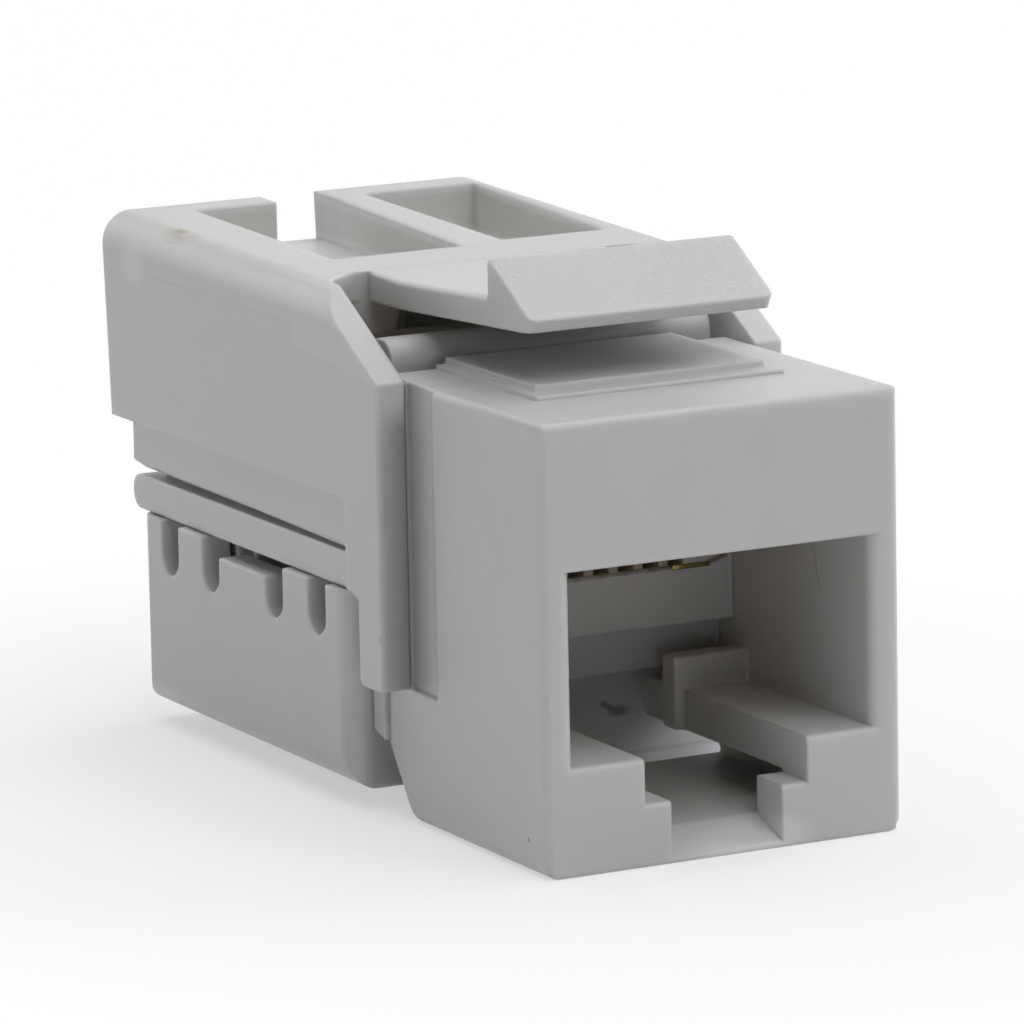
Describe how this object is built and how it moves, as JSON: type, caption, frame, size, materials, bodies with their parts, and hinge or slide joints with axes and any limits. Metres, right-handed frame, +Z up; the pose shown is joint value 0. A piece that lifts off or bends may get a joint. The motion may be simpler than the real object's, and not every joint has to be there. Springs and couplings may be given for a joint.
{
  "type": "keystone jack",
  "caption": "Keystone network jack: plug port with spring contacts in front, latch lever on top, clip-on wire cap under the rear.",
  "frame": {"origin": "centre of the plug port at its mouth, in the plane of the front face", "axes": "+X across the face, +Y into the port towards the rear, +Z up towards the latch lever"},
  "size_m": [0.0164, 0.0333, 0.0205],
  "materials": {
    "housing_plastic": "fine-grained moulded, warm light grey",
    "cap_plastic": "fine-grained moulded, warm light grey",
    "insulator_plastic": "plain moulded",
    "board_laminate": "green solder mask",
    "gilded_contact": "thin gold over nickel",
    "tinned_blade": "dull tin over bronze"
  },
  "bodies": {
    "jack": {"front_housing": "housing_plastic", "rear_housing": "housing_plastic", "contact_sled": "insulator_plastic", "circuit_board": "board_laminate", "terminal_block": "insulator_plastic", "contact_1": "gilded_contact", "contact_2": "gilded_contact", "contact_3": "gilded_contact", "contact_4": "gilded_contact", "contact_5": "gilded_contact", "contact_6": "gilded_contact", "contact_7": "gilded_contact", "contact_8": "gilded_contact", "terminal_blade_1": "tinned_blade", "terminal_blade_2": "tinned_blade", "terminal_blade_3": "tinned_blade", "terminal_blade_4": "tinned_blade", "terminal_blade_5": "tinned_blade", "terminal_blade_6": "tinned_blade", "terminal_blade_7": "tinned_blade", "terminal_blade_8": "tinned_blade"},
    "lever": {"latch_lever": "housing_plastic"},
    "cap": {"wire_cap": "cap_plastic"}
  },
  "joints": [
    {"name": "lever_flex", "type": "hinge", "parent": "jack", "child": "lever", "pos_m": [0, 0.0173, 0.01039], "axis": [1, 0, 0], "range_deg": [0, 8], "stiffness_Nm_per_rad": 0.4},
    {"name": "cap_pull", "type": "slide", "parent": "jack", "child": "cap", "axis": [0, 0, -1], "range_m": [0, 0.008]}
  ]
}
